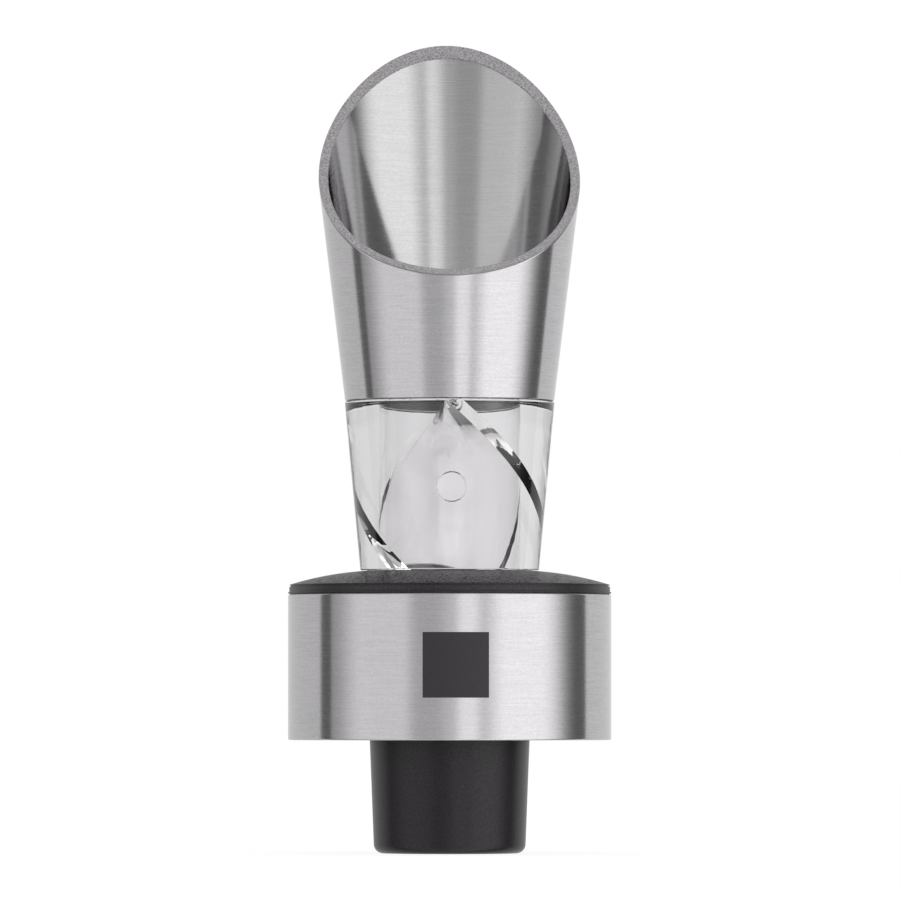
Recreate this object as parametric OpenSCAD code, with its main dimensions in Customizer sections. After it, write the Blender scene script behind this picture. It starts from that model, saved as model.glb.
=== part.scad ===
// Wine aerator pourer: stopper, steel collar, black dome, clear twisted-vane chamber and slanted steel spout.
// Origin at the centre of the stopper's bottom face, +Z up, the mouth opens towards -Y.

/* [Stopper] */
// How far the stopper goes into the bottle, up to its flange
plug_h = 22; // [16:0.5:30]
// Outside diameter of the stopper at its lower end
plug_low_d = 18.7; // [17:0.1:19.5]
// Outside diameter of the stopper where it meets its flange
plug_high_d = 20.4; // [19.6:0.1:22]
// Rounding of the stopper's lower corner
plug_corner = 1.5; // [0.5:0.1:2]
// Diameter of the flange that the bottle's lip presses on
flange_d = 29; // [26:0.5:32]
// Thickness of that flange
flange_t = 2; // [1.5:0.1:3]
// Thickness of the lip that covers the nozzle's lower end
plug_lip_t = 1.5; // [1:0.1:3]

/* [Nozzle] */
// Diameter of the wine inlet
inlet_d = 11; // [7:0.1:11.5]
// Wall of the nozzle's tube
nozzle_wall = 2; // [1.2:0.1:2.5]
// Thickness of the deck between the stopper and the chamber
deck_t = 2.5; // [1.5:0.1:4]
// Wall of the cup that takes the chamber's foot
cup_wall = 1.8; // [1.2:0.1:3]

/* [Collar] */
// Outside diameter of the steel collar
collar_d = 40; // [36:0.5:46]
// Height of the steel collar
collar_h = 18; // [16.5:0.5:24]
// Thickness of the collar's steel
collar_wall = 1.2; // [0.8:0.1:2]
// How far the collar reaches down past the bottle's lip
collar_drop = 8; // [4:0.5:9.5]

/* [Base cap] */
// Height of the dome's crest above the collar
dome_rise = 3; // [2.8:0.1:6]
// How far the cap's edge stands in from the collar's outside
cap_inset = 0.15; // [0.1:0.05:0.6]
// Height of the cap's edge above the collar
cap_edge_h = 1.1; // [0.7:0.05:1.5]
// Rounding of the cap's edge
cap_edge_r = 0.2; // [0.1:0.05:0.4]
// Height of the thin lip, flush with the collar, under that edge
cap_lip_h = 0.3; // [0.1:0.05:0.5]
// Radius at which the dome is highest
dome_crest_r = 8; // [4:0.1:10]
// Thickness of the cap's dome
dome_t = 1.8; // [1.2:0.1:2.5]
// Thickness of the cap's skirt
skirt_t = 1.5; // [1:0.1:2]
// How far the skirt stops short of the collar's lower edge
skirt_inset = 1.5; // [0.5:0.1:4]

/* [Clear chamber] */
// Height of the part of the chamber that shows
chamber_h = 21; // [16:0.5:30]
// Outside diameter of the chamber on the cap
chamber_foot_d = 22.1; // [21.5:0.1:24]
// Outside diameter of the chamber under the spout
chamber_top_d = 26; // [25:0.1:29]
// Wall of the spigot at the chamber's foot
foot_wall = 1.4; // [1.2:0.1:1.6]
// Length of the spigot inside the spout
head_h = 4.5; // [4:0.1:6]
// Wall of that spigot, from the spout's inside to the bore
head_wall = 2.9; // [2.5:0.1:4]
// Small bevel on the chamber's top edge
chamber_bevel = 0.25; // [0.1:0.05:0.4]

/* [Twisted vane] */
// Thickness of the vane at its upper end
vane_top_t = 1.8; // [1:0.1:3]
// Thickness of the vane at its lower end, thicker for the mould's draft
vane_foot_t = 3.2; // [1:0.1:4]
// Turn of the vane from its lower to its upper end, in degrees
vane_turn = 172; // [90:1:270]
// Angle of the vane's upper end from the front, in degrees
vane_start = 2; // [0:1:90]
// Height of the vane's lower end above the spigot's end
vane_rise = 2; // [0.5:0.1:3]

/* [Air hole] */
// Diameter of the air hole
air_d = 3.5; // [2:0.1:4.5]
// Height of the air hole above the cap
air_h = 10.1; // [6:0.1:14]

/* [Spout] */
// Outside diameter of the spout where it meets the chamber
spout_foot_d = 25.9; // [25:0.1:27]
// Slope of the spout's side from upright, in degrees
spout_slope = 6.95; // [3:0.05:10]
// Thickness of the spout's steel
spout_wall = 1.2; // [0.8:0.1:1.6]
// Height of the low front lip above the chamber
lip_front_h = 15; // [10:0.1:20]
// Height of the tall back lip above the chamber
lip_back_h = 45.4; // [35:0.1:55]
// Radius of the curved cut, seen from the side
cut_r = 152; // [80:1:300]

/* [Seals] */
// Thickness of the flat ring under the chamber's foot
foot_seal_t = 1; // [0.6:0.1:1.5]
// Section diameter of the round ring inside the spout
spout_seal_d = 1.4; // [1:0.1:1.6]
// Height of the round ring's centre above the chamber's shoulder
spout_seal_h = 2.4; // [1.5:0.1:3]

/* [Fits] */
// Gap at glued and pushed fits, on the radius
fit_gap = 0.05; // [0:0.01:0.15]

/* [Hidden] */
$fn = 128;
// Extra length that carries a cut clear of the face it opens
over = 1;

// Heights, from the stopper's lower face up
deck_z = plug_h + flange_t;
cup_z = deck_z + deck_t;
collar_z = plug_h - collar_drop;
collar_top_z = collar_z + collar_h;
skirt_z = collar_z + skirt_inset;
foot_z = cup_z + foot_seal_t;
cap_z = collar_top_z + dome_rise;
joint_z = cap_z + chamber_h;
head_z = joint_z + head_h;
vane_z = foot_z + vane_rise;
vane_h = joint_z - vane_z;

// Radii
inlet_r = inlet_d / 2;
tube_r = inlet_r + nozzle_wall;
collar_r = collar_d / 2;
skirt_r = collar_r - collar_wall - fit_gap;
skirt_in_r = skirt_r - skirt_t;
spout_foot_in_r = spout_foot_d / 2 - spout_wall / cos(spout_slope);
head_r = spout_foot_in_r - fit_gap;

// The bore is straight, so the upper spigot's wall sets it all the way down
bore_r = head_r - head_wall;
foot_r = bore_r + foot_wall;
cup_r = foot_r + fit_gap;

// The round ring just meets the spout's inside
seal_touch_r = spout_foot_in_r + spout_seal_h * tan(spout_slope);
seal_ring_r = seal_touch_r - spout_seal_d / 2 / cos(spout_slope);

// The dome falls from its crest to the height of the cap's edge
cap_r = collar_r - cap_inset;
dome_fall = dome_rise - cap_edge_h;
dome_r = (pow(cap_r - dome_crest_r, 2) + pow(dome_fall, 2)) / (2 * dome_fall);
dome_z = cap_z - dome_r;
edge_x = cap_r - cap_edge_r;
edge_z = dome_z + sqrt(pow(dome_r, 2) - pow(edge_x - dome_crest_r, 2)) - cap_edge_r;

// Outer radius of the spout at a height above the joint
function spout_r(h) = spout_foot_d / 2 + h * tan(spout_slope);

// The cut is an arc in the YZ plane from the front lip to the back lip
front_lip = [-spout_r(lip_front_h), joint_z + lip_front_h];
back_lip = [spout_r(lip_back_h), joint_z + lip_back_h];
cut_chord = back_lip - front_lip;
cut_half = norm(cut_chord) / 2;
cut_rise = sqrt(cut_r * cut_r - cut_half * cut_half);
cut_centre = (front_lip + back_lip) / 2 + cut_rise * [-cut_chord.y, cut_chord.x] / norm(cut_chord);

// A rectangle in the section plane, given by its radii and heights
module band(r_in, r_out, z_low, z_high) {
    translate([r_in, z_low])
        square([r_out - r_in, z_high - z_low]);
}

// Tapered silicone plug with a flange for the bottle's lip and a through bore
module stopper() {
    slope = atan((plug_high_d - plug_low_d) / 2 / plug_h);
    corner_x = plug_low_d / 2 - plug_corner;
    touch = [corner_x + plug_corner * cos(slope), plug_corner * (1 - sin(slope))];
    color("#2c2c2d")
    rotate_extrude()
    difference() {
        union() {
            translate([corner_x, plug_corner])
                circle(r = plug_corner);
            polygon([
                [inlet_r, 0], [corner_x, 0], [corner_x, plug_corner], touch,
                [plug_high_d / 2, plug_h], [inlet_r, plug_h]
            ]);
            band(inlet_r, flange_d / 2, plug_h, deck_z - fit_gap);
        }
        band(0, tube_r + fit_gap, plug_lip_t, deck_z);
    }
}

// Inner tube, deck and cup in one moulding, with a funnel from the inlet to the bore
module nozzle() {
    color("#232324")
    rotate_extrude()
    difference() {
        union() {
            band(inlet_r, tube_r, plug_lip_t + fit_gap, deck_z);
            band(inlet_r, skirt_in_r - fit_gap, deck_z, cup_z);
            intersection() {
                band(inlet_r, cup_r + cup_wall, deck_z, cap_z);
                dome_circle(dome_t + fit_gap);
            }
        }
        polygon([[0, deck_z], [inlet_r, deck_z], [bore_r, cup_z], [0, cup_z]]);
        band(0, cup_r, cup_z, cap_z);
    }
}

// Plain steel sleeve
module collar() {
    color("#b9babb")
    rotate_extrude()
        band(collar_r - collar_wall, collar_r, collar_z, collar_top_z);
}

// The dome's circle in section, or one lying a given depth below it
module dome_circle(depth = 0) {
    translate([dome_crest_r, dome_z])
        circle(r = dome_r - depth);
}

// Section of the cap's outside: a shallow dome with a rounded edge, on a thin lip
module cap_outline() {
    band(0, collar_r, collar_top_z, collar_top_z + cap_lip_h);
    intersection() {
        dome_circle();
        union() {
            band(0, edge_x, collar_top_z, cap_z + over);
            band(0, cap_r, collar_top_z, edge_z);
            translate([edge_x, edge_z])
                circle(r = cap_edge_r);
        }
    }
}

// Dome, edge and skirt in one moulding, with the hole that the chamber's foot goes through
module base_cap() {
    color("#303132")
    rotate_extrude()
    difference() {
        union() {
            cap_outline();
            band(0, skirt_r, skirt_z, collar_top_z);
        }
        band(0, cup_r, skirt_z - over, cap_z + over);
        intersection() {
            band(0, skirt_in_r, skirt_z - over, cap_z);
            dome_circle(dome_t);
        }
    }
}

// Flat ring that the chamber's foot stands on
module foot_seal() {
    color("#3a3a3b")
    rotate_extrude()
        band(bore_r, foot_r, cup_z, foot_z);
}

// Outside of the clear body: two spigots with a cone between them
module chamber_outside() {
    union() {
        band(0, foot_r, foot_z, cap_z + over);
        polygon([
            [0, cap_z], [chamber_foot_d / 2, cap_z],
            [chamber_top_d / 2, joint_z - chamber_bevel],
            [chamber_top_d / 2 - chamber_bevel, joint_z], [0, joint_z]
        ]);
        band(0, head_r, joint_z - over, head_z);
    }
}

// Square groove, a little wider and deeper than the ring that lies in it
module seal_groove() {
    groove_r = spout_seal_d / 2 + fit_gap;
    translate([seal_ring_r, joint_z + spout_seal_h])
    translate([-groove_r, -groove_r])
        square([head_r, 2 * groove_r]);
}

// Flat bar across the bore, twisted on its way up, thinner towards the top and rooted in the wall at both edges
module vane() {
    root = 0.4;
    step_angle = 9;
    taper = vane_top_t / vane_foot_t;
    translate([0, 0, vane_z])
    intersection() {
        cylinder(r = bore_r + root, h = vane_h);
        // The taper narrows the bar as well, so it starts wide enough to reach the wall all the way
        rotate([0, 0, vane_start + vane_turn - 90])
        linear_extrude(
            height = vane_h, twist = vane_turn, scale = taper,
            slices = round(vane_turn / step_angle), segments = 16, convexity = 8
        )
            square([2 * (bore_r + 2 * root) / min(taper, 1), vane_foot_t], center = true);
    }
}

// Clear body with its bore, the vane in one with the wall, the ring groove and the air hole
module chamber() {
    color("#dfe6ea", 0.4)
    union() {
        difference() {
            rotate_extrude()
            difference() {
                chamber_outside();
                band(0, bore_r, foot_z - over, head_z + over);
                seal_groove();
            }
            translate([0, -bore_r / 2, cap_z + air_h])
            rotate([90, 0, 0])
                cylinder(d = air_d, h = chamber_top_d);
        }
        vane();
    }
}

// Round ring in the groove of the upper spigot
module spout_seal() {
    color("#3a3a3b")
    translate([0, 0, joint_z + spout_seal_h])
    rotate_extrude()
        translate([seal_ring_r, 0])
        circle(d = spout_seal_d);
}

// Tapered tube of even wall, opened by the curved slanting cut
module spout() {
    length = lip_back_h + over;
    wall_x = spout_wall / cos(spout_slope);
    color("#c4c5c6")
    difference() {
        translate([0, 0, joint_z])
        rotate_extrude()
            polygon([
                [spout_r(0) - wall_x, 0], [spout_r(0), 0],
                [spout_r(length), length], [spout_r(length) - wall_x, length]
            ]);
        translate([0, cut_centre.x, cut_centre.y])
        rotate([0, 90, 0])
            cylinder(r = cut_r, h = 4 * spout_r(length), center = true, $fn = 360);
    }
}

stopper();
nozzle();
collar();
base_cap();
foot_seal();
chamber();
spout_seal();
spout();
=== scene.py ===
import math

import bpy
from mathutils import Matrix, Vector


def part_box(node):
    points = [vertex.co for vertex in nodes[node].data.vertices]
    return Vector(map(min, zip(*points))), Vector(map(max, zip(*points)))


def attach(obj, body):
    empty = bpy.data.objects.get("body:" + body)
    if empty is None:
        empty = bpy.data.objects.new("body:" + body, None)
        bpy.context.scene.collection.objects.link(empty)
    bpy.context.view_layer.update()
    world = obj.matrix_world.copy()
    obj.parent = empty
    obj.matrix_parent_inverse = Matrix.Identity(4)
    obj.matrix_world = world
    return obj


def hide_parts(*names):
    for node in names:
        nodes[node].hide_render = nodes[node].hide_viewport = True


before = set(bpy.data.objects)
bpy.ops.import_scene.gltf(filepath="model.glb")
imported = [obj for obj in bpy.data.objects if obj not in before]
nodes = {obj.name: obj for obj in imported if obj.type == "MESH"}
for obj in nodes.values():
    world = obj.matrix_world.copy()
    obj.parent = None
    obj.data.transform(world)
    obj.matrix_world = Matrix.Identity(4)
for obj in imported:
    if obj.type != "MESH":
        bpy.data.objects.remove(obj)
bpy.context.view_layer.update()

mm = 0.001    # the settings below are in millimetres and degrees
print("stage: frame loaded,", len(nodes), "nodes")


# heights and radii that the pieces share, read from the frame in millimetres
def frameSize(node):
    low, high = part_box(node)
    return {
        "low": low.z / mm,
        "high": high.z / mm,
        "radius": (high.x - low.x) / 2 / mm,
    }


collarSize = frameSize("collar")
capSize = frameSize("base_cap")
stopperSize = frameSize("stopper")
chamberSize = frameSize("chamber")
spoutSize = frameSize("spout")
domeRise = 3.0
capTop = collarSize["high"] + domeRise
joint = spoutSize["low"]


# colour and node helpers
def hexColor(text):
    channels = [int(text[i:i + 2], 16) / 255 for i in (1, 3, 5)]
    linear = [c / 12.92 if c <= 0.04045 else ((c + 0.055) / 1.055) ** 2.4 for c in channels]
    return (*linear, 1)


# a node with its settings and links: i0, i1 and so on give a socket by its place, other words by its name
def addNode(tree, kind, settings=None, **links):
    node = tree.nodes.new(kind)
    for key, value in (settings or {}).items():
        setattr(node, key, value)
    for key, value in links.items():
        byPlace = key[0] == "i" and key[1:].isdigit()
        socket = node.inputs[int(key[1:]) if byPlace else key.replace("_", " ")]
        if isinstance(value, bpy.types.NodeSocket):
            tree.links.new(value, socket)
        else:
            socket.default_value = value
    return node


def newMaterial(name):
    material = bpy.data.materials.new(name)
    material.use_nodes = True
    tree = material.node_tree
    tree.nodes.clear()
    output = tree.nodes.new("ShaderNodeOutputMaterial")
    return material, tree, output


# object coordinates divided by a cell's size in mm, so that a noise has cells of that size
def cellCoordinates(tree, across, upright):
    place = addNode(tree, "ShaderNodeTexCoord").outputs["Object"]
    scale = (1 / (across * mm), 1 / (across * mm), 1 / (upright * mm))
    return addNode(tree, "ShaderNodeVectorMath", {"operation": "MULTIPLY"}, i0=place, i1=scale).outputs[0]


def cellNoise(tree, across, upright, detail=2.0, roughness=0.5):
    vector = cellCoordinates(tree, across, upright)
    return addNode(tree, "ShaderNodeTexNoise", None, Vector=vector, Scale=1.0, Detail=detail,
                   Roughness=roughness).outputs[0]


# a flat colour made lighter and darker by a noise: strength is the change at the noise's usual extremes
def unevenColor(tree, color, noise, strength):
    shade = addNode(tree, "ShaderNodeMapRange", {"clamp": False}, Value=noise,
                    From_Min=0.25, From_Max=0.75, To_Min=1 - strength, To_Max=1 + strength)
    return addNode(tree, "ShaderNodeVectorMath", {"operation": "SCALE"},
                   i0=hexColor(color)[:3], Scale=shade.outputs[0]).outputs[0]


# turned stainless steel, satin brushed round the axis: upright streaks of light, level scratches, sandy grain
steelSettings = {
    "color": "#c5c3c5",
    "roughness": 0.19,
    "roughSpread": 0.03,
    "anisotropy": 0.92,
    "lineLength": 4.0,      # mm round the axis
    "lineWidth": 0.18,      # mm, coarser than the real 0.05 so that the brushing shows
    "grainLength": 0.35,    # mm
    "grainWidth": 0.2,      # mm
    "shade": 0.16,
    "bump": 0.003,          # mm
}

# the inside of the spout is brushed more finely, so it mirrors the rim and the other wall; its colour is
# painted a little darker than the outside's, as painted shade inside the spout
innerSettings = {**steelSettings, "color": "#bab9ba", "roughness": 0.13, "anisotropy": 0.7}

# plain dark square etched on the front of the collar, in mm; only what lies in front of depth is etched
markSettings = {
    "color": "#332d33",
    "roughness": 0.5,
    "width": 8.1,
    "height": 8.0,
    "side": 0.3,
    "middle": 23.2,
    "depth": 19.2,
}


# 1 inside the square, 0 elsewhere
def markMask(tree, settings):
    place = addNode(tree, "ShaderNodeTexCoord").outputs["Object"]
    parts = addNode(tree, "ShaderNodeSeparateXYZ", i0=place).outputs
    inside = addNode(tree, "ShaderNodeMath", {"operation": "LESS_THAN"}, i0=parts[1],
                     i1=-settings["depth"] * mm).outputs[0]
    for part, middle, size in ((parts[0], settings["side"], settings["width"]),
                               (parts[2], settings["middle"], settings["height"])):
        off = addNode(tree, "ShaderNodeMath", {"operation": "SUBTRACT"}, i0=part, i1=middle * mm).outputs[0]
        away = addNode(tree, "ShaderNodeMath", {"operation": "ABSOLUTE"}, i0=off).outputs[0]
        near = addNode(tree, "ShaderNodeMath", {"operation": "LESS_THAN"}, i0=away,
                       i1=size / 2 * mm).outputs[0]
        inside = addNode(tree, "ShaderNodeMath", {"operation": "MULTIPLY"}, i0=inside, i1=near).outputs[0]
    return inside


def brushedSteel(name, settings, mark=None):
    material, tree, output = newMaterial(name)
    lines = cellNoise(tree, settings["lineLength"], settings["lineWidth"], 3.0, 0.6)
    grain = cellNoise(tree, settings["grainLength"], settings["grainWidth"], 2.0, 0.6)
    both = addNode(tree, "ShaderNodeMix", {"data_type": "FLOAT"}, i0=0.5, i2=lines, i3=grain).outputs[0]
    color = unevenColor(tree, settings["color"], both, settings["shade"])
    rough = addNode(tree, "ShaderNodeMapRange", None, Value=both, From_Min=0.3, From_Max=0.7,
                    To_Min=settings["roughness"] - settings["roughSpread"],
                    To_Max=settings["roughness"] + settings["roughSpread"])
    bump = addNode(tree, "ShaderNodeBump", None, Height=lines, Strength=1.0, Distance=settings["bump"] * mm)
    upright = addNode(tree, "ShaderNodeCombineXYZ", i2=1.0)
    surface = addNode(tree, "ShaderNodeBsdfPrincipled", None, Base_Color=color, Metallic=1.0,
                      Roughness=rough.outputs[0], Anisotropic=settings["anisotropy"],
                      Tangent=upright.outputs[0], Normal=bump.outputs[0]).outputs[0]
    if mark:
        etched = addNode(tree, "ShaderNodeBsdfPrincipled", None, Roughness=mark["roughness"],
                         Base_Color=unevenColor(tree, mark["color"], grain, settings["shade"]))
        surface = addNode(tree, "ShaderNodeMixShader", None, i0=markMask(tree, mark), i1=surface,
                          i2=etched.outputs[0]).outputs[0]
    tree.links.new(surface, output.inputs[0])
    return material


# the cut rim of the spout, ground with a belt: dull, with a coarse sparkle
rimSettings = {
    "color": "#bfbcbf",
    "roughness": 0.38,
    "grain": 0.2,     # mm
    "shade": 0.65,
    "bump": 0.022,    # mm
}


def groundSteel(name, settings):
    material, tree, output = newMaterial(name)
    grain = cellNoise(tree, settings["grain"], settings["grain"], 3.0, 0.6)
    color = unevenColor(tree, settings["color"], grain, settings["shade"])
    bump = addNode(tree, "ShaderNodeBump", None, Height=grain, Strength=1.0, Distance=settings["bump"] * mm)
    surface = addNode(tree, "ShaderNodeBsdfPrincipled", None, Base_Color=color, Metallic=1.0,
                      Roughness=settings["roughness"], Normal=bump.outputs[0])
    tree.links.new(surface.outputs[0], output.inputs[0])
    return material


# clear styrene acrylonitrile from a polished mould: water clear, strong edges, a faint waviness (waves in mm)
clearSettings = {
    "color": "#f9f8f9",
    "ior": 1.5,
    "roughness": 0.01,
    "waveWide": 1.6,
    "waveTall": 3.0,
    "wave": 0.012,
}


def clearPlastic(name, settings):
    material, tree, output = newMaterial(name)
    wave = cellNoise(tree, settings["waveWide"], settings["waveTall"], 1.0)
    bump = addNode(tree, "ShaderNodeBump", None, Height=wave, Strength=1.0, Distance=settings["wave"] * mm)
    surface = addNode(tree, "ShaderNodeBsdfPrincipled", None, Base_Color=hexColor(settings["color"]),
                      IOR=settings["ior"], Roughness=settings["roughness"], Transmission_Weight=1.0,
                      Normal=bump.outputs[0])
    tree.links.new(surface.outputs[0], output.inputs[0])
    return material


# black moulded ABS with a spark-eroded grain, with painted glints on the grain's tops and painted shade in
# its hollows
domeSettings = {
    "color": "#2b242b",
    "ior": 1.5,
    "roughness": 0.3,
    "grain": 0.28,    # mm, coarser than the real 0.1 so that it shows
    "shade": 1.3,
    "bump": 0.4,      # mm
    # how far the gloss is painted up on the grain's tops and down in its hollows, as painted glints and
    # painted shade
    "paintedGlintShade": 0.5,
}

# the dome's upright edge comes from a smoother part of the mould, so it is an even dark band
edgeSettings = {
    "color": "#261f26",
    "ior": 1.5,
    "roughness": 0.4,
    "grain": 0.2,     # mm
    "shade": 0.3,
    "bump": 0.015,    # mm
    "paintedGlintShade": 0.1,
}

# black moulded silicone rubber: soft satin with a faint fine grain
siliconeSettings = {
    "color": "#180f18",
    "ior": 1.44,
    "roughness": 0.32,
    "grain": 0.22,    # mm
    "shade": 0.3,
    "bump": 0.008,    # mm
    "paintedGlintShade": 0.06,
}


# painted shade and painted glints: the grain's hollows are painted darker, duller and less glossy than its
# tops
def grainedBlack(name, settings):
    material, tree, output = newMaterial(name)
    grain = cellNoise(tree, settings["grain"], settings["grain"], 2.0)
    color = unevenColor(tree, settings["color"], grain, settings["shade"])
    plainGloss = 0.5
    paintedGloss = addNode(tree, "ShaderNodeMapRange", None, Value=grain, From_Min=0.35, From_Max=0.65,
                    To_Min=plainGloss - settings["paintedGlintShade"], To_Max=plainGloss + settings["paintedGlintShade"])
    bump = addNode(tree, "ShaderNodeBump", None, Height=grain, Strength=1.0, Distance=settings["bump"] * mm)
    surface = addNode(tree, "ShaderNodeBsdfPrincipled", None, Base_Color=color, IOR=settings["ior"],
                      Roughness=settings["roughness"], Specular_IOR_Level=paintedGloss.outputs[0],
                      Normal=bump.outputs[0])
    tree.links.new(surface.outputs[0], output.inputs[0])
    return material


steel = brushedSteel("brushedSteel", steelSettings)
markedSteel = brushedSteel("brushedSteelWithSquare", steelSettings, markSettings)
innerSteel = brushedSteel("brushedSteelInside", innerSettings)
rimSteel = groundSteel("groundSteelRim", rimSettings)
clear = clearPlastic("clearPlastic", clearSettings)
capPlastic = grainedBlack("grainedBlackPlastic", domeSettings)
edgePlastic = grainedBlack("smoothBlackPlastic", edgeSettings)
silicone = grainedBlack("satinSilicone", siliconeSettings)
print("stage: materials made")


# mesh helpers
def finishMesh(name, points, faces, material, sharpAngle=40):
    mesh = bpy.data.meshes.new(name)
    mesh.from_pydata([Vector(p) * mm for p in points], [], faces)
    mesh.validate()
    mesh.shade_smooth()
    mesh.set_sharp_from_angle(angle=math.radians(sharpAngle))
    mesh.materials.append(material)
    piece = bpy.data.objects.new(name, mesh)
    bpy.context.scene.collection.objects.link(piece)
    return piece


# corners of a section as (radius, height, reach) to points: reach is how far the rounding goes along each
# side, and a holding point stands on either side of each rounded corner
def roundedOutline(corners, steps=5, hold=0.12):
    points = []
    count = len(corners)
    for i, (x, z, reach) in enumerate(corners):
        here = Vector((x, z))
        if reach == 0:
            points.append((x, z))
            continue
        before = (Vector(corners[i - 1][:2]) - here).normalized()
        after = (Vector(corners[(i + 1) % count][:2]) - here).normalized()
        half = before.angle(after) / 2
        centre = here + (before + after).normalized() * reach / math.cos(half)
        start = here + before * reach
        end = here + after * reach
        points.append(tuple(start + before * hold))
        sweep = math.pi - 2 * half
        first = start - centre
        side = 1 if first.x * (end - centre).y - first.y * (end - centre).x > 0 else -1
        for k in range(steps + 1):
            turn = side * sweep * k / steps
            points.append((
                centre.x + first.x * math.cos(turn) - first.y * math.sin(turn),
                centre.y + first.x * math.sin(turn) + first.y * math.cos(turn),
            ))
        points.append(tuple(end + after * hold))
    return points


# a section turned round the axis; an outline that starts and ends on the axis is closed by poles
def turnedPiece(name, outline, material, sides=256, sharpAngle=40):
    polar = outline[0][0] == 0 and outline[-1][0] == 0
    ringPoints = outline[1:-1] if polar else outline
    count = len(ringPoints)
    points = []
    for i in range(sides):
        angle = 2 * math.pi * i / sides
        points += [(r * math.cos(angle), r * math.sin(angle), z) for r, z in ringPoints]
    faces = []
    for i in range(sides):
        here, there = i * count, (i + 1) % sides * count
        for k in range(count - 1 if polar else count):
            up = (k + 1) % count
            faces.append((here + k, there + k, there + up, here + up))
    if polar:
        points += [(0, 0, outline[0][1]), (0, 0, outline[-1][1])]
        for i in range(sides):
            here, there = i * count, (i + 1) % sides * count
            faces.append((sides * count, there, here))
            faces.append((sides * count + 1, here + count - 1, there + count - 1))
    return finishMesh(name, points, faces, material, sharpAngle)


# steel collar
collar = {"wall": 1.2, "edge": 0.2}
outer = collarSize["radius"]
collarPiece = turnedPiece("collarSleeve", roundedOutline([
    (outer - collar["wall"], collarSize["low"], collar["edge"]),
    (outer, collarSize["low"], collar["edge"]),
    (outer, collarSize["high"], collar["edge"]),
    (outer - collar["wall"], collarSize["high"], collar["edge"]),
]), markedSteel)
print("stage: collar made")


# black cap: shallow dome, upright edge between two shadow grooves, skirt inside the collar
cap = {
    # the upright edge, set back from the collar, and the lip that lies on the collar over a hairline gap
    "inset": 0.15, "edgeHeight": 1.2, "smoothWidth": 0.3,
    "lip": 0.3, "lipEdge": 0.08, "gapHigh": 0.12, "gapDeep": 0.25,
    # the groove under the dome
    "grooveLow": 0.24, "grooveHigh": 0.06, "grooveDeep": 0.18, "grooveEdge": 0.05, "eaves": 0.02,
    # the dome, an arc that is highest at the crest's radius, inside the hole for the chamber
    "crest": 8.0, "domeInset": 0.04, "domeSteps": 40, "thick": 1.8, "insideSteps": 10,
    "hole": 10.25, "holeEdge": 0.15,
    # the skirt
    "skirt": 1.5, "skirtEdge": 0.2, "fit": 0.05,
}
bandRadius = outer - cap["inset"]


# height of the dome at a radius, or of the face that lies depth under it
def domeHeight(radius, depth=0.0):
    fall = domeRise - cap["edgeHeight"]
    domeRadius = ((bandRadius - cap["crest"]) ** 2 + fall ** 2) / (2 * fall)
    return capTop - domeRadius + math.sqrt((domeRadius - depth) ** 2 - (radius - cap["crest"]) ** 2)


def capOutline():
    skirtOut = outer - collar["wall"] - cap["fit"]
    skirtIn = skirtOut - cap["skirt"]
    seat = collarSize["high"]
    edgeZ = seat + cap["edgeHeight"]
    grooveX = bandRadius - cap["grooveDeep"]
    corners = [
        (skirtIn, capSize["low"], cap["skirtEdge"]), (skirtOut, capSize["low"], cap["skirtEdge"]),
        (skirtOut, seat, 0),
        (outer - cap["gapDeep"], seat, 0), (outer - cap["gapDeep"], seat + cap["gapHigh"], 0),
        (outer, seat + cap["gapHigh"], 0), (outer, seat + cap["lip"], cap["lipEdge"]),
        (bandRadius, seat + cap["lip"], 0), (bandRadius, edgeZ - cap["grooveLow"], cap["grooveEdge"]),
        (grooveX, edgeZ - cap["grooveLow"], 0), (grooveX, edgeZ - cap["grooveHigh"], 0),
        (bandRadius - cap["eaves"], edgeZ - cap["grooveHigh"], 0),
    ]
    points = roundedOutline(corners, steps=3, hold=0.05)
    steps = cap["domeSteps"]
    domeStart, domeEnd = bandRadius - cap["domeInset"], cap["hole"] + cap["holeEdge"]
    dome = [domeStart + (domeEnd - domeStart) * k / steps for k in range(steps + 1)]
    points += [(r, domeHeight(r)) for r in dome]
    points.append((cap["hole"], domeHeight(cap["hole"]) - cap["holeEdge"]))
    steps = cap["insideSteps"]
    inside = [cap["hole"] + (skirtIn - cap["hole"]) * k / steps for k in range(steps + 1)]
    points += [(r, domeHeight(r, cap["thick"])) for r in inside]
    return points


capPiece = turnedPiece("capDome", capOutline(), capPlastic)
capPiece.data.materials.append(edgePlastic)
edgeInside, edgeTop = bandRadius - cap["smoothWidth"], collarSize["high"] + cap["edgeHeight"]
for polygon in capPiece.data.polygons:
    if polygon.center.xy.length > edgeInside * mm and polygon.center.z < edgeTop * mm:
        polygon.material_index = 1
print("stage: cap made")


# silicone stopper: tapered plug, flange over it and an inner lip under the nozzle's tube
stopper = {
    "lowRadius": 9.35, "highRadius": 10.2, "plug": 22.0, "corner": 1.1, "cornerSteps": 8, "flange": 14.5,
    "inlet": 5.5, "tube": 7.55, "lip": 1.5, "mould": 0.4,
}
stopperPiece = turnedPiece("stopperSleeve", roundedOutline([
    (stopper["inlet"], 0.0, stopper["mould"]),
    (stopper["lowRadius"], 0.0, stopper["corner"]),
    (stopper["highRadius"], stopper["plug"], 0),
    (stopper["flange"], stopper["plug"], stopper["mould"]),
    (stopper["flange"], stopperSize["high"], stopper["mould"]),
    (stopper["tube"], stopperSize["high"], 0),
    (stopper["tube"], stopper["lip"], 0),
    (stopper["inlet"], stopper["lip"], stopper["mould"] / 2),
], steps=stopper["cornerSteps"]), silicone)
print("stage: stopper made")


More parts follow.
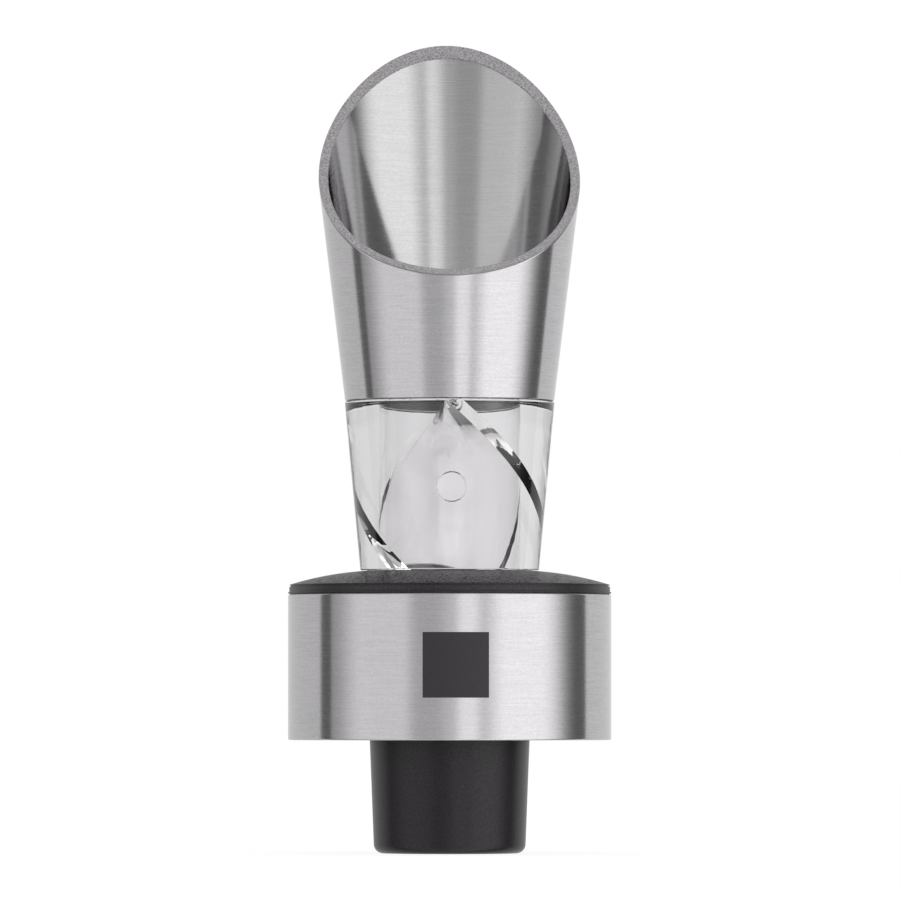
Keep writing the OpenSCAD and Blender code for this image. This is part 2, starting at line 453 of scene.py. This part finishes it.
# clear chamber: a turned blank, with two twisted channels and the air hole taken out by nodes
chamber = {
    # the cone, between its foot and a shoulder just under the spout, and the bore
    "footRadius": 11.05, "footEdge": 0.12, "bevel": 0.26, "jointGap": 0.1,
    "bore": 8.8, "boreSlack": 0.03, "sides": 320, "rows": 20, "sharpAngle": 25,
    # the spigots, with the seal's groove round the upper one
    "foot": 10.2, "head": 11.69, "ringHeight": 2.4, "ringRadius": 11.33, "groove": 0.75,
    # the air hole
    "airRadius": 1.75, "airHeight": 10.1, "airEdge": 0.12, "airReach": 1.0, "airSides": 96,
    # the vane that the channels leave between them
    "vaneTop": 1.8, "vaneFoot": 3.2, "turn": 172.0, "start": 2.0, "rise": 2.0, "overrun": 0.3,
    "arcPoints": 96, "flatCuts": 40, "turnRows": 121,
}


def chamberBlank():
    low, high = chamberSize["low"], chamberSize["high"]
    top = chamberSize["radius"]
    wide = chamber["bore"] + chamber["boreSlack"]
    ringZ = joint + chamber["ringHeight"]
    floorRadius = chamber["ringRadius"] - chamber["groove"]
    rows = chamber["rows"]
    shoulder = joint - chamber["jointGap"]
    cone = [(chamber["footRadius"] + (top - chamber["footRadius"]) * k / rows,
             capTop + (shoulder - capTop) * k / rows, 0) for k in range(1, rows)]
    corners = [
        (0, low + chamber["rise"], 0), (wide, low + chamber["rise"], 0), (wide, low, 0),
        (chamber["foot"], low, 0), (chamber["foot"], capTop, 0),
        (chamber["footRadius"], capTop, chamber["footEdge"]), *cone,
        (top, shoulder, chamber["bevel"]), (chamber["head"], shoulder, 0),
        (chamber["head"], ringZ - chamber["groove"], 0), (floorRadius, ringZ - chamber["groove"], 0),
        (floorRadius, ringZ + chamber["groove"], 0), (chamber["head"], ringZ + chamber["groove"], 0),
        (chamber["head"], high, 0), (wide, high, 0), (wide, joint, 0), (0, joint, 0),
    ]
    outline = roundedOutline(corners, steps=4, hold=0.05)
    return turnedPiece("chamberBody", outline, clear, chamber["sides"], chamber["sharpAngle"])


# cutter for the air hole: straight through the front wall, chamfered where it meets the cone's surface
def airDrill():
    sides = chamber["airSides"]
    slope = (chamberSize["radius"] - chamber["footRadius"]) / (joint - capTop)
    middle = capTop + chamber["airHeight"]
    edge = chamber["airEdge"]
    # each ring is wider than the hole by the first number, and out of the skin by the second
    profile = [(0.0, None), (0.0, -edge), (edge, 0.0), (edge, chamber["airReach"])]
    points = []
    for widen, above in profile:
        for i in range(sides):
            turn = 2 * math.pi * i / sides
            reach = chamber["airRadius"] + widen
            x, z = reach * math.cos(turn), middle + reach * math.sin(turn)
            skin = math.sqrt((chamber["footRadius"] + slope * (z - capTop)) ** 2 - x * x)
            points.append((x, -chamber["bore"] / 2 if above is None else -skin - above, z))
    faces = [tuple(range(sides - 1, -1, -1)), tuple(range(len(points) - sides, len(points)))]
    for row in range(len(profile) - 1):
        for i in range(sides):
            here, there = row * sides + i, row * sides + (i + 1) % sides
            faces.append((here, there, there + sides, here + sides))
    return finishMesh("airDrill", points, faces, clear, chamber["sharpAngle"])


def channelTree():
    tree = bpy.data.node_groups.new("twistedChannels", "GeometryNodeTree")
    face = tree.interface
    face.new_socket("Blank", in_out="INPUT", socket_type="NodeSocketGeometry")
    sizes = {
        "Bore radius": chamber["bore"] * mm,
        "Half vane top": chamber["vaneTop"] / 2 * mm,
        "Half vane foot": chamber["vaneFoot"] / 2 * mm,
        "Low": (chamberSize["low"] + chamber["rise"]) * mm,
        "High": joint * mm,
        "Overrun": chamber["overrun"] * mm,
        "Turn": math.radians(chamber["turn"]),
        "Start": math.radians(chamber["start"] - 90),    # a channel lies a quarter turn from the vane
        "Sharp": math.radians(chamber["sharpAngle"]),
    }
    for name in sizes:
        face.new_socket(name, in_out="INPUT", socket_type="NodeSocketFloat")
    face.new_socket("Drill", in_out="INPUT", socket_type="NodeSocketObject")
    face.new_socket("Material", in_out="INPUT", socket_type="NodeSocketMaterial")
    face.new_socket("Body", in_out="OUTPUT", socket_type="NodeSocketGeometry")
    sockets = addNode(tree, "NodeGroupInput").outputs

    def sums(operation, a, b, c=0.0):
        return addNode(tree, "ShaderNodeMath", {"operation": operation}, i0=a, i1=b, i2=c).outputs[0]

    # half round outline of one channel, with the vane's face as its flat side
    bore, topHalf = sockets["Bore radius"], sockets["Half vane top"]
    rim = sums("ARCSINE", sums("DIVIDE", topHalf, bore), 0.0)
    sweep = sums("MULTIPLY_ADD", rim, -2.0, math.pi)
    arcPoints = chamber["arcPoints"]
    arc = addNode(tree, "GeometryNodeCurveArc", {"mode": "RADIUS"}, Resolution=arcPoints,
                  Radius=sockets["Bore radius"], Start_Angle=rim, Sweep_Angle=sweep)
    closed = addNode(tree, "GeometryNodeSetSplineCyclic", None, Geometry=arc.outputs[0], Cyclic=True)
    index = addNode(tree, "GeometryNodeInputIndex").outputs[0]
    last = addNode(tree, "FunctionNodeCompare", {"data_type": "INT", "operation": "EQUAL"},
                   i2=index, i3=arcPoints - 1).outputs[0]
    cuts = sums("MULTIPLY", last, float(chamber["flatCuts"]))
    fine = addNode(tree, "GeometryNodeSubdivideCurve", None, Curve=closed.outputs[0], Cuts=cuts)

    # a straight prism of that outline
    span = sums("SUBTRACT", sockets["High"], sockets["Low"])
    lowEnd = addNode(tree, "ShaderNodeCombineXYZ", i2=sums("SUBTRACT", sockets["Low"], sockets["Overrun"]))
    highEnd = addNode(tree, "ShaderNodeCombineXYZ", i2=sums("ADD", sockets["High"], sockets["Overrun"]))
    path = addNode(tree, "GeometryNodeCurvePrimitiveLine", None, Start=lowEnd.outputs[0],
                   End=highEnd.outputs[0])
    rows = addNode(tree, "GeometryNodeResampleCurve", None, Curve=path.outputs[0], Count=chamber["turnRows"])
    prism = addNode(tree, "GeometryNodeCurveToMesh", None, Curve=rows.outputs[0],
                    Profile_Curve=fine.outputs[0], Fill_Caps=True)
    position = addNode(tree, "GeometryNodeInputPosition").outputs[0]
    place = addNode(tree, "ShaderNodeSeparateXYZ", i0=position).outputs
    share = sums("DIVIDE", sums("SUBTRACT", sockets["High"], place[2]), span)

    # its flat side backs off towards the foot, where the vane is thicker; its round side stays on the bore
    halfVane = sums("MULTIPLY_ADD", share, sums("SUBTRACT", sockets["Half vane foot"], topHalf), topHalf)
    squeeze = sums("DIVIDE", sums("SUBTRACT", bore, halfVane), sums("SUBTRACT", bore, topHalf))
    across = sums("MULTIPLY_ADD", sums("SUBTRACT", place[1], topHalf), squeeze, halfVane)
    boreSquare = sums("MULTIPLY", bore, bore)

    def reachAt(depth, least):
        left = sums("SUBTRACT", boreSquare, sums("MULTIPLY", depth, depth))
        return sums("SQRT", sums("MAXIMUM", left, least), 0.0)

    along = sums("MULTIPLY", place[0], sums("DIVIDE", reachAt(across, 0.0), reachAt(place[1], 1e-12)))
    shaped = addNode(tree, "ShaderNodeCombineXYZ", i0=along, i1=across, i2=place[2]).outputs[0]

    # then the prism is twisted round the axis by its height
    angle = sums("MULTIPLY_ADD", share, sockets["Turn"], sockets["Start"])
    turned = addNode(tree, "ShaderNodeVectorRotate", {"rotation_type": "Z_AXIS"}, Vector=shaped, Angle=angle)
    channel = addNode(tree, "GeometryNodeSetPosition", None, Geometry=prism.outputs[0],
                      Position=turned.outputs[0])
    other = addNode(tree, "GeometryNodeTransform", None, Geometry=channel.outputs[0],
                    Rotation=(0, 0, math.pi))

    # the air hole, through the front wall only
    hole = addNode(tree, "GeometryNodeObjectInfo", None, Object=sockets["Drill"])
    cut = addNode(tree, "GeometryNodeMeshBoolean", {"operation": "DIFFERENCE", "solver": "MANIFOLD"},
                  i0=sockets["Blank"])
    for cutter in (channel.outputs[0], other.outputs[0], hole.outputs["Geometry"]):
        tree.links.new(cutter, cut.inputs[1])
    edge = addNode(tree, "GeometryNodeInputMeshEdgeAngle").outputs[0]
    sharp = addNode(tree, "FunctionNodeCompare", {"data_type": "FLOAT", "operation": "GREATER_THAN"},
                    i0=edge, i1=sockets["Sharp"]).outputs[0]
    faces = addNode(tree, "GeometryNodeSetShadeSmooth", {"domain": "FACE"}, Geometry=cut.outputs[0],
                    Shade_Smooth=True)
    edges = addNode(tree, "GeometryNodeSetShadeSmooth", {"domain": "EDGE"}, Geometry=faces.outputs[0],
                    Selection=sharp, Shade_Smooth=False)
    real = addNode(tree, "GeometryNodeRealizeInstances", None, Geometry=edges.outputs[0])
    done = addNode(tree, "GeometryNodeSetMaterial", None, Geometry=real.outputs[0],
                   Material=sockets["Material"])
    addNode(tree, "NodeGroupOutput", None, Body=done.outputs[0])
    return tree, sizes


# runs a tree on a piece and keeps the result as its mesh
def plainMesh(piece, tree, inputs):
    modifier = piece.modifiers.new("cut", "NODES")
    modifier.node_group = tree
    sockets = {item.name: item.identifier for item in tree.interface.items_tree if item.in_out == "INPUT"}
    for name, value in inputs.items():
        modifier[sockets[name]] = value
    graph = bpy.context.evaluated_depsgraph_get()
    mesh = bpy.data.meshes.new_from_object(piece.evaluated_get(graph))
    piece.modifiers.clear()
    piece.data = mesh
    return piece


# true normals for the turned faces, so that the cut blank's long faces shade and bend light without seams;
# faces near the axis or turned away from it, such as the vane's, keep theirs
def setTurnedNormals(piece, clearOfAxis=5.0, offRadius=0.03):
    mesh = piece.data
    normals = [corner.vector.copy() for corner in mesh.corner_normals]
    for polygon in mesh.polygons:
        out = polygon.center.xy
        across = polygon.normal.xy
        if out.length < clearOfAxis * mm or abs(across.normalized().cross(out.normalized())) > offRadius:
            continue
        side = across.length if across.dot(out) > 0 else -across.length
        for k in polygon.loop_indices:
            way = mesh.vertices[mesh.loops[k].vertex_index].co.xy.normalized() * side
            normals[k] = Vector((way.x, way.y, polygon.normal.z))
    mesh.normals_split_custom_set(normals)


chamberTree, chamberSizes = channelTree()
drill = airDrill()
chamberPiece = plainMesh(chamberBlank(), chamberTree, {**chamberSizes, "Drill": drill, "Material": clear})
bpy.data.objects.remove(drill)
setTurnedNormals(chamberPiece)
print("stage: chamber made,", len(chamberPiece.data.polygons), "faces")


# steel spout: tapered wall, opened by an arc seen from the side, with a rounded ground rim
spout = {
    "footRadius": 12.95, "slope": 6.95, "wall": 1.2, "frontLip": 15.0, "cutRadius": 152.0,
    "backRound": 0.12, "frontRound": 0.28, "innerRound": 0.15, "footRound": 0.08, "roundSteps": 5,
    "sides": 384, "rows": 14, "searchOver": 5.0, "halvings": 40, "sharpAngle": 60,
}


# the wall's outline at each angle round the axis, with heights over the joint
def spoutOutlines():
    slope = math.tan(math.radians(spout["slope"]))
    wallX = spout["wall"] / math.cos(math.radians(spout["slope"]))
    top = spoutSize["high"] - joint
    front = Vector((-(spout["footRadius"] + spout["frontLip"] * slope), joint + spout["frontLip"]))
    back = Vector((spout["footRadius"] + top * slope, joint + top))
    chord = back - front
    rise = math.sqrt(spout["cutRadius"] ** 2 - chord.length_squared / 4)
    centre = (front + back) / 2 + rise * Vector((-chord.y, chord.x)).normalized()

    # where a straight line up the cone meets the arc
    def cutHeight(angle, foot):
        low, high = 0.0, top + spout["searchOver"]
        for step in range(spout["halvings"]):
            height = (low + high) / 2
            place = Vector(((foot + height * slope) * math.sin(angle), joint + height))
            if (place - centre).length > spout["cutRadius"]:
                low = height
            else:
                high = height
        return low

    rings = []
    for i in range(spout["sides"]):
        angle = 2 * math.pi * i / spout["sides"]
        outerTop = cutHeight(angle, spout["footRadius"])
        innerTop = cutHeight(angle, spout["footRadius"] - wallX)
        frontShare = (1 - math.sin(angle)) / 2
        outerRound = spout["backRound"] + (spout["frontRound"] - spout["backRound"]) * frontShare
        corners = [
            (spout["footRadius"] - wallX, 0.0, spout["footRound"]),
            (spout["footRadius"], 0.0, spout["footRound"]),
            (spout["footRadius"] + outerTop * slope, outerTop, outerRound),
            (spout["footRadius"] - wallX + innerTop * slope, innerTop, spout["innerRound"]),
        ]
        rings.append((angle, roundedOutline(corners, steps=spout["roundSteps"], hold=0.08)))
    return rings


def spoutPiece():
    rings = spoutOutlines()
    cornerPoints = spout["roundSteps"] + 3    # points of one rounded corner in the outline
    rows = spout["rows"]
    points, faces, finishes = [], [], []
    count = 4 * cornerPoints + 2 * rows
    for angle, outline in rings:
        foot, rim = outline[:2 * cornerPoints], outline[2 * cornerPoints:]
        outward = [Vector(foot[-1]).lerp(Vector(rim[0]), k / (rows + 1)) for k in range(1, rows + 1)]
        inward = [Vector(rim[-1]).lerp(Vector(foot[0]), k / (rows + 1)) for k in range(1, rows + 1)]
        for x, z in foot + outward + rim + inward:
            points.append((x * math.cos(angle), x * math.sin(angle), z + joint))
    firstRim = 2 * cornerPoints + rows
    rimStart = firstRim + cornerPoints // 2    # halfway round the rim's outer edge
    rimEnd = firstRim + 2 * cornerPoints - 2
    for i in range(len(rings)):
        here, there = i * count, (i + 1) % len(rings) * count
        for k in range(count):
            up = (k + 1) % count
            onRim = rimStart <= k < rimEnd
            outside = cornerPoints - 2 < k < rimStart
            finishes.append(0 if outside else 1 if onRim else 2)
            faces.append((here + k, there + k, there + up, here + up))
    piece = finishMesh("spoutTube", points, faces, steel, spout["sharpAngle"])
    piece.data.materials.append(rimSteel)
    piece.data.materials.append(innerSteel)
    piece.data.polygons.foreach_set("material_index", finishes)
    return piece


spoutTube = spoutPiece()
print("stage: spout made")


# finishes of the pieces that stay as packed
for name, material in {"nozzle": capPlastic, "foot_seal": silicone, "spout_seal": silicone}.items():
    nodes[name].data.materials.clear()
    nodes[name].data.materials.append(material)


# who stands for what
for piece, node, slot in [
    (collarPiece, "collar", "steel"),
    (capPiece, "base_cap", "black_plastic"),
    (stopperPiece, "stopper", "silicone"),
    (chamberPiece, "chamber", "clear_plastic"),
    (spoutTube, "spout", "steel"),
]:
    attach(piece, "root")
    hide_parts(node)


# floor, white to the camera and still taking the shadow; mirrored rays pass it, so metal shows the studio
floorSettings = {"size": 3.0, "color": "#f4f4f4", "whiteShare": 0.78, "glow": 1.15}


def paleFloor():
    material, tree, output = newMaterial("paleFloor")
    diffuse = addNode(tree, "ShaderNodeBsdfDiffuse", None, Color=hexColor(floorSettings["color"]))
    glow = addNode(tree, "ShaderNodeEmission", None, Color=(1, 1, 1, 1), Strength=floorSettings["glow"])
    path = addNode(tree, "ShaderNodeLightPath")
    share = addNode(tree, "ShaderNodeMath", {"operation": "MULTIPLY"},
                    i0=path.outputs["Is Camera Ray"], i1=floorSettings["whiteShare"])
    mix = addNode(tree, "ShaderNodeMixShader", None, i0=share.outputs[0], i1=diffuse.outputs[0],
                  i2=glow.outputs[0])
    clearWay = addNode(tree, "ShaderNodeBsdfTransparent")
    mirrored = addNode(tree, "ShaderNodeMixShader", None, i0=path.outputs["Is Glossy Ray"],
                       i1=mix.outputs[0], i2=clearWay.outputs[0])
    tree.links.new(mirrored.outputs[0], output.inputs[0])
    return material


half = floorSettings["size"] / 2 / mm
floor = finishMesh("floor", [(-half, -half, 0), (half, -half, 0), (half, half, 0), (-half, half, 0)],
                   [(0, 1, 2, 3)], paleFloor())


# studio round the object: walls, and panels on them as (compass angle, half width, soft edge, brightness), in
# degrees from the side that the camera is on, plus to the right; heights are the sine of the angle over level
studio = {
    "leftWall": 0.62,
    "rightWall": 1.06,
    "ceilingFront": 0.26,
    "ceilingBack": 0.62,
    "ceilingBlend": (-0.15, 0.5),    # from front to back
    "ceilingHeight": (0.41, 0.55),
    "overhead": 0.64,
    "overheadHeight": (0.7, 0.9),
    "overCamera": (-27, 33, 8, 0.34),
    "overCameraHeight": (0.31, 0.36),
    "panels": {
        "fillWall": (-60, 24, 14, 1.0),
        "cameraGap": (-17, 4, 13, 0.63),
        "narrowLight": (12, 3, 9, 1.33),
        "keyLight": (60, 20, 18, 1.5),
        "leftShade": (-101, 7.5, 27, 0.5),
        "leftFlag": (-101, 4.5, 3, 0.155),
        "leftBack": (-150, 42, 3, 0.73),
        "rightShade": (108, 4, 38, 0.15),
        "rightBack": (150, 36, 3, 0.8),
    },
}


def studioWorld():
    world = bpy.data.worlds.new("studio")
    bpy.context.scene.world = world
    world.use_nodes = True
    tree = world.node_tree
    tree.nodes.clear()
    direction = addNode(tree, "ShaderNodeTexCoord").outputs["Generated"]
    parts = addNode(tree, "ShaderNodeSeparateXYZ", i0=direction)
    up = parts.outputs[2]
    ahead = addNode(tree, "ShaderNodeMath", {"operation": "MULTIPLY"}, i0=parts.outputs[1], i1=-1.0)
    compass = addNode(tree, "ShaderNodeMath", {"operation": "ARCTAN2"}, i0=parts.outputs[0],
                      i1=ahead.outputs[0])
    level = addNode(tree, "ShaderNodeMapRange", None, Value=parts.outputs[0], From_Min=-1.0, From_Max=1.0,
                    To_Min=studio["leftWall"], To_Max=studio["rightWall"]).outputs[0]

    def smoothMask(value, start, end):
        return addNode(tree, "ShaderNodeMapRange", {"interpolation_type": "SMOOTHSTEP"}, Value=value,
                       From_Min=start, From_Max=end).outputs[0]

    def blended(mask, first, second):
        return addNode(tree, "ShaderNodeMix", {"data_type": "FLOAT"}, i0=mask, i2=first, i3=second).outputs[0]

    def panelMask(angle, halfWidth, soft):
        off = addNode(tree, "ShaderNodeMath", {"operation": "SUBTRACT"}, i0=compass.outputs[0],
                      i1=math.radians(angle)).outputs[0]
        away = addNode(tree, "ShaderNodeMath", {"operation": "ABSOLUTE"}, i0=off).outputs[0]
        outside = smoothMask(away, math.radians(halfWidth), math.radians(halfWidth + soft))
        return addNode(tree, "ShaderNodeMath", {"operation": "SUBTRACT"}, i0=1.0, i1=outside).outputs[0]

    for angle, halfWidth, soft, brightness in studio["panels"].values():
        level = blended(panelMask(angle, halfWidth, soft), level, brightness)
    angle, halfWidth, soft, brightness = studio["overCamera"]
    above = blended(panelMask(angle, halfWidth, soft), level, brightness)
    level = blended(smoothMask(up, *studio["overCameraHeight"]), level, above)
    back = smoothMask(parts.outputs[1], *studio["ceilingBlend"])
    ceiling = blended(back, studio["ceilingFront"], studio["ceilingBack"])
    level = blended(smoothMask(up, *studio["ceilingHeight"]), level, ceiling)
    level = blended(smoothMask(up, *studio["overheadHeight"]), level, studio["overhead"])
    room = addNode(tree, "ShaderNodeBackground", None, Color=(1, 1, 1, 1), Strength=level)
    white = addNode(tree, "ShaderNodeBackground", None, Color=(1, 1, 1, 1), Strength=1.0)
    path = addNode(tree, "ShaderNodeLightPath")
    mix = addNode(tree, "ShaderNodeMixShader", None, i0=path.outputs["Is Camera Ray"],
                  i1=room.outputs[0], i2=white.outputs[0])
    addNode(tree, "ShaderNodeOutputWorld", None, Surface=mix.outputs[0])


studioWorld()


# long lens, a little below the middle of the object and looking slightly up; mm and degrees
view = {
    "distance": 1189.0, "height": 17.1, "turn": -1.3,
    "aimHeight": 49.9, "aimSide": 0.04, "frameWidth": 111.46, "sensor": 36,
}


def addCamera():
    data = bpy.data.cameras.new("camera")
    camera = bpy.data.objects.new("camera", data)
    bpy.context.scene.collection.objects.link(camera)
    turn = math.radians(view["turn"])
    place = Vector((view["distance"] * math.sin(turn), -view["distance"] * math.cos(turn), view["height"]))
    aim = Vector((view["aimSide"], 0, view["aimHeight"]))
    camera.location = place * mm
    camera.rotation_euler = (aim - place).to_track_quat("-Z", "Y").to_euler()
    data.sensor_width = view["sensor"]
    data.lens = view["sensor"] * (aim - place).length / view["frameWidth"]
    data.clip_start = 0.05
    data.clip_end = 20
    bpy.context.scene.camera = camera


addCamera()
bpy.context.scene.view_settings.view_transform = "Standard"
print("stage: studio and camera set")
